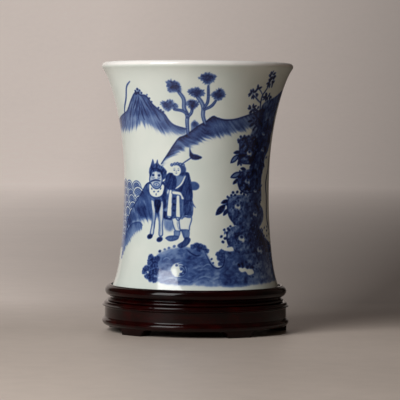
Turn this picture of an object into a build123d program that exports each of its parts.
"""A porcelain brush pot that stands in the round recess of a five-footed hardwood stand.

Millimetres, +Z up. The origin is on the pot's axis, on the surface that the stand's feet rest on.
Every outline is drawn in the XZ plane as (radius, height) and turned about Z.
"""

import math
import os

from build123d import *

# Stand: the levels of its mouldings, counted up from the table.
FOOT_TOP = 4.4
BEAD_LOW = 5.0
BEAD_MIDDLE = 6.8
BEAD_HIGH = 8.4
BAND_LOW = 9.6
BAND_HIGH = 16.2
FLANGE_LOW = 17.2
FLANGE_HIGH = 17.8
APRON_TOP = 20.3
ROLL_MIDDLE = 21.5
COVE_LOW = 22.5
WAIST_TOP = 23.9
TORUS_MIDDLE = 27.9
SEAT_LEVEL = 27.6
LIST_LOW = 30.8
STAND_TOP = 31.3

# Stand: radii.
BORE_R = 50.0
BAND_R = 61.7
BEAD_R = 63.4
BEAD_FOOT_R = 62.6
FLANGE_R = 63.3
SHOULDER_R = 62.2
LEDGE_R = 60.4
ROLL_R = 59.7
GROOVE_R = 58.8
WAIST_R = 58.0
TORUS_FOOT_R = 58.7
TORUS_R = 61.6
LIST_R = 59.4
RECESS_R = 57.6
FRAME_INNER_R = 46.0
LIST_BEVEL = 0.5
COVE_DEPTH = 0.35
WAIST_COVE_DEPTH = 0.125
SHOULDER_STEP = 0.7
SHOULDER_SAG = 0.25

# Stand: joinery.
SIDES = 5
FOOT_TURN = -133.3
LAP_ANGLE = 7.0
LAP_LEVEL = 25.8
TONGUE_LOW = 24.9
TONGUE_HIGH = 26.7
TONGUE_DEPTH = 3.0
GLUE_GAP = 0.05
BOARD_LOW = 23.9
BATTEN_LENGTH = 88.0
BATTEN_WIDTH = 13.0
BATTEN_LOW = 20.5
BATTEN_CHAMFER = 1.0
DOVETAIL_HEIGHT = 1.4
DOVETAIL_NECK = 9.0
DOVETAIL_HEAD = 11.0
DOWEL_R = 1.5
DOWEL_CIRCLE_R = 54.0
DOWEL_LOW = 13.4
DOWEL_HIGH = 27.0

# Feet.
FOOT_OUTER_R = 62.2
FOOT_INNER_R = 51.0
FOOT_HALF_ANGLE = 12.0
FOOT_COVE_R = 4.2
FOOT_COVE_ANGLE = 11.9
TENON_WIDTH = 9.0
TENON_DEPTH = 5.0
TENON_HEIGHT = 5.0
TENON_R = 56.0

# Pot: heights here are counted up from the pot's own foot.
POT_WAIST_R = 49.2
POT_WAIST_H = 69.0
MOUTH_H = 152.6
FLARE_END_H = 150.2
FLARE = 14.9
FLARE_POWER = 2.3
LIP_KICK = 2.3
LIP_KICK_POWER = 18.0
SPREAD = 9.1
SPREAD_SLOW_SHARE = 0.67
SPREAD_SLOW_POWER = 2.1
SPREAD_FAST_POWER = 11.0
WALL = 5.2
FLOOR_H = 10.0
FLOOR_TURN_H = 20.0
FLOOR_TURN_WIDTH = 7.0
FLOOR_TURN_MIDDLE_IN = 0.875
FLOOR_TURN_MIDDLE_UP = 2.333
FOOT_BEVEL = 2.2
FOOT_RING_WIDTH = 10.0
BASE_HOLLOW = 2.5
LOW_KNOTS_H = (4, 9, 18)
HIGH_KNOTS_H = (34, 52, POT_WAIST_H, 88, 106, 122, 136, 144)

SECTOR_REACH = 100.0
THROUGH = 1.0


def wall_radius(h):
    """The pot's outer radius at a height above its own foot: a flare above the waist, a spread below it."""
    if h >= POT_WAIST_H:
        rise = (h - POT_WAIST_H) / (MOUTH_H - POT_WAIST_H)
        return POT_WAIST_R + FLARE * rise**FLARE_POWER + LIP_KICK * rise**LIP_KICK_POWER
    drop = (POT_WAIST_H - h) / POT_WAIST_H
    slow = SPREAD_SLOW_SHARE * drop**SPREAD_SLOW_POWER
    fast = (1 - SPREAD_SLOW_SHARE) * drop**SPREAD_FAST_POWER
    return POT_WAIST_R + SPREAD * (slow + fast)


def wall_lean(h):
    """The angle, in radians, at which the outer wall leans outwards going up."""
    step = 0.01
    return math.atan2(wall_radius(h + step) - wall_radius(h - step), 2 * step)


def inside_of_wall(h):
    """The point of the inner wall that lies one wall thickness in from the outer wall's point at h."""
    lean = wall_lean(h)
    return (wall_radius(h) - WALL * math.cos(lean), h + WALL * math.sin(lean))


def turned(*edges):
    """The solid made by turning a closed outline of edges about Z."""
    return revolve(make_face(Plane.XZ * Curve(list(edges))), Axis.Z)


def path(*points):
    """Straight runs through the points, as a list of edges."""
    return list(Polyline(*points).edges())


def sector(start, end, low, high):
    """A wedge of space about Z between two angles in degrees and two heights."""
    corners = [(0, 0)]
    for angle in (start, end):
        turn = math.radians(angle)
        corners.append((SECTOR_REACH * math.cos(turn), SECTOR_REACH * math.sin(turn)))
    return Pos(0, 0, low) * extrude(make_face(Polyline(*corners, close=True)), high - low)


def upright(radius, low, high):
    """A cylinder about Z between two heights."""
    return Pos(0, 0, low) * Cylinder(radius, high - low, align=(Align.CENTER, Align.CENTER, Align.MIN))


def block(size_x, size_y, low, high):
    """A box centred on Z between two heights."""
    return Pos(0, 0, low) * Box(size_x, size_y, high - low, align=(Align.CENTER, Align.CENTER, Align.MIN))


def foot_angle(i):
    """The angle of foot i, in degrees from +X."""
    return FOOT_TURN + i * 360 / SIDES


def pot_body():
    """The pot, fired in one piece: spread foot, waisted wall, flared and rounded lip, hollow base."""
    lip_lean = wall_lean(FLARE_END_H)
    lip_r = WALL / 2
    flare_end_r = wall_radius(FLARE_END_H)
    outer_heights = [FOOT_BEVEL, *LOW_KNOTS_H, *HIGH_KNOTS_H, FLARE_END_H]
    outer = Spline(*[(wall_radius(h), h) for h in outer_heights])
    lip_centre = (
        flare_end_r - lip_r * math.cos(lip_lean),
        FLARE_END_H + lip_r * math.sin(lip_lean),
    )
    lip_top = (
        lip_centre[0] + lip_r * math.sin(lip_lean),
        lip_centre[1] + lip_r * math.cos(lip_lean),
    )
    lip = ThreePointArc((flare_end_r, FLARE_END_H), lip_top, inside_of_wall(FLARE_END_H))
    inner_heights = [FLARE_END_H, *reversed(HIGH_KNOTS_H), FLOOR_TURN_H]
    inner = Spline(*[inside_of_wall(h) for h in inner_heights])
    turn_start = inside_of_wall(FLOOR_TURN_H)
    floor_r = turn_start[0] - FLOOR_TURN_WIDTH
    turn_middle = (turn_start[0] - FLOOR_TURN_MIDDLE_IN, FLOOR_H + FLOOR_TURN_MIDDLE_UP)
    corner = ThreePointArc(turn_start, turn_middle, (floor_r, FLOOR_H))
    foot_r = wall_radius(0) - FOOT_BEVEL
    hollow_r = foot_r - FOOT_RING_WIDTH
    base = path(
        (floor_r, FLOOR_H),
        (0, FLOOR_H),
        (0, BASE_HOLLOW),
        (hollow_r - BASE_HOLLOW / 2, BASE_HOLLOW),
        (hollow_r, 0),
        (foot_r, 0),
        (wall_radius(FOOT_BEVEL), FOOT_BEVEL),
    )
    return Pos(0, 0, SEAT_LEVEL) * turned(outer, lip, inner, corner, *base)


def seat_frame():
    """The whole top ring: a half-round edge, a raised list, the pot's recess, a groove for the board."""
    torus = ThreePointArc((LIST_R, LIST_LOW), (TORUS_R, TORUS_MIDDLE), (TORUS_FOOT_R, WAIST_TOP))
    groove_r = FRAME_INNER_R + TONGUE_DEPTH
    outline = path(
        (TORUS_FOOT_R, WAIST_TOP),
        (FRAME_INNER_R, WAIST_TOP),
        (FRAME_INNER_R, TONGUE_LOW),
        (groove_r, TONGUE_LOW),
        (groove_r, TONGUE_HIGH),
        (FRAME_INNER_R, TONGUE_HIGH),
        (FRAME_INNER_R, SEAT_LEVEL),
        (RECESS_R, SEAT_LEVEL),
        (RECESS_R, STAND_TOP),
        (LIST_R - LIST_BEVEL, STAND_TOP),
        (LIST_R, LIST_LOW),
    )
    return turned(torus, *outline) - dowels(GLUE_GAP)


def seat_frame_arc(frame, i):
    """One arc of the top ring, its upper half turned past its lower half so that the arcs lap."""
    start = foot_angle(i) + 180 / SIDES
    span = 360 / SIDES
    lower = sector(start, start + span, WAIST_TOP - THROUGH, LAP_LEVEL)
    upper = sector(start + LAP_ANGLE, start + LAP_ANGLE + span, LAP_LEVEL, STAND_TOP + THROUGH)
    return frame & (lower + upper)


def dovetail(slack):
    """The batten's dovetail and its slot in the board, from the board's underside up."""
    neck = DOVETAIL_NECK / 2 + slack
    head = DOVETAIL_HEAD / 2 + slack
    top = BOARD_LOW + DOVETAIL_HEIGHT + slack
    section = Polyline((-neck, BOARD_LOW), (neck, BOARD_LOW), (head, top), (-head, top), close=True)
    length = BATTEN_LENGTH + (2 * THROUGH + TONGUE_DEPTH * 2 if slack else 0)
    return extrude(make_face(Plane.XZ * section), length / 2, both=True)


def seat_board():
    """The board inside the top ring, tongued into its groove, with a dovetailed slot across its underside."""
    edge = FRAME_INNER_R - 2 * GLUE_GAP
    board = upright(edge, BOARD_LOW, SEAT_LEVEL)
    board += upright(edge + TONGUE_DEPTH, TONGUE_LOW + GLUE_GAP, TONGUE_HIGH - GLUE_GAP)
    return board - dovetail(GLUE_GAP)


def board_batten():
    """The batten that slides into the board's slot and keeps it flat."""
    bar = Pos(0, 0, (BATTEN_LOW + BOARD_LOW) / 2) * Box(
        BATTEN_WIDTH, BATTEN_LENGTH, BOARD_LOW - BATTEN_LOW
    )
    eased = chamfer(bar.edges().group_by(Axis.Z)[0], BATTEN_CHAMFER)
    return eased + dovetail(0)


def waist_ring():
    """The narrow ring between the top ring and the apron: a cove under the top ring, then a small round."""
    cove_deep = (WAIST_R + WAIST_COVE_DEPTH, (WAIST_TOP + COVE_LOW) / 2)
    cove = ThreePointArc((WAIST_R, WAIST_TOP), cove_deep, (GROOVE_R, COVE_LOW))
    roll = ThreePointArc((GROOVE_R, COVE_LOW), (ROLL_R, ROLL_MIDDLE), (GROOVE_R, APRON_TOP))
    inner = path(
        (GROOVE_R, APRON_TOP), (BORE_R, APRON_TOP), (BORE_R, WAIST_TOP), (WAIST_R, WAIST_TOP)
    )
    return turned(cove, roll, *inner) - dowels(GLUE_GAP)


def apron_ring():
    """The whole apron: a round and a thin flange over a plain band, and a cove and a bead under it."""
    shoulder_end = (SHOULDER_R, FLANGE_HIGH + SHOULDER_STEP)
    shoulder_middle = (SHOULDER_R - SHOULDER_SAG, (APRON_TOP + shoulder_end[1]) / 2 + SHOULDER_SAG)
    shoulder = ThreePointArc((LEDGE_R, APRON_TOP), shoulder_middle, shoulder_end)
    flange = path(shoulder_end, (FLANGE_R, FLANGE_HIGH), (FLANGE_R, FLANGE_LOW))
    under_flange_deep = (BAND_R + COVE_DEPTH, (FLANGE_LOW + BAND_HIGH) / 2)
    under_flange = ThreePointArc((FLANGE_R, FLANGE_LOW), under_flange_deep, (BAND_R, BAND_HIGH))
    band = path((BAND_R, BAND_HIGH), (BAND_R, BAND_LOW))
    cove_deep = (BAND_R + COVE_DEPTH, (BAND_LOW + BEAD_HIGH) / 2)
    cove = ThreePointArc((BAND_R, BAND_LOW), cove_deep, (BEAD_FOOT_R, BEAD_HIGH))
    bead = ThreePointArc((BEAD_FOOT_R, BEAD_HIGH), (BEAD_R, BEAD_MIDDLE), (BEAD_FOOT_R, BEAD_LOW))
    inner = path(
        (BEAD_FOOT_R, BEAD_LOW),
        (BEAD_FOOT_R - LIST_BEVEL, FOOT_TOP),
        (BORE_R, FOOT_TOP),
        (BORE_R, APRON_TOP),
        (LEDGE_R, APRON_TOP),
    )
    return turned(shoulder, *flange, under_flange, *band, cove, bead, *inner) - dowels(GLUE_GAP)


def dowels(slack):
    """The dowels that pin the apron, the waist ring and the top ring together, half way between the feet."""
    pins = []
    for i in range(SIDES):
        turn = Rot(0, 0, foot_angle(i) + 90 / SIDES)
        pins.append(
            turn
            * Pos(DOWEL_CIRCLE_R, 0, 0)
            * upright(DOWEL_R + slack, DOWEL_LOW - slack, DOWEL_HIGH + slack)
        )
    return Compound(children=pins)


def tenon(slack):
    """A foot's tenon, or with slack its mortise, for a foot that lies along +X."""
    height = TENON_HEIGHT + slack
    size = (TENON_DEPTH + 2 * slack, TENON_WIDTH + 2 * slack)
    return Pos(TENON_R, 0, 0) * block(*size, FOOT_TOP - (THROUGH if slack else 0), FOOT_TOP + height)


def foot():
    """One foot, lying along +X: a short arc with a cove at each end, and a tenon on top."""
    ring = upright(FOOT_OUTER_R, 0, FOOT_TOP) - upright(FOOT_INNER_R, -THROUGH, FOOT_TOP + THROUGH)
    arc = ring & sector(-FOOT_HALF_ANGLE, FOOT_HALF_ANGLE, 0, FOOT_TOP)
    for side in (-1, 1):
        cutter = Cylinder(FOOT_COVE_R, 2 * FOOT_OUTER_R, rotation=(0, 90, 0))
        arc -= Rot(0, 0, side * FOOT_COVE_ANGLE) * Pos(FOOT_OUTER_R, 0, 0) * cutter
    return arc + tenon(0)


def write(shape, name):
    """Writes one sub-part to parts/NAME.step."""
    export_step(shape, f"parts/{name}.step")


os.makedirs("parts", exist_ok=True)
write(pot_body(), "pot_body")
write(seat_board(), "seat_board")
write(board_batten(), "board_batten")
write(waist_ring(), "waist_ring")
write(dowels(0), "waist_dowels")
top_ring = seat_frame()
apron = apron_ring()
for n in range(SIDES):
    apron -= Rot(0, 0, foot_angle(n)) * tenon(GLUE_GAP)
for n in range(SIDES):
    angle = foot_angle(n)
    write(seat_frame_arc(top_ring, n), f"seat_ring_arc_{n + 1}")
    write(apron & sector(angle, angle + 360 / SIDES, 0, STAND_TOP), f"apron_arc_{n + 1}")
    write(Rot(0, 0, angle) * foot(), f"foot_{n + 1}")
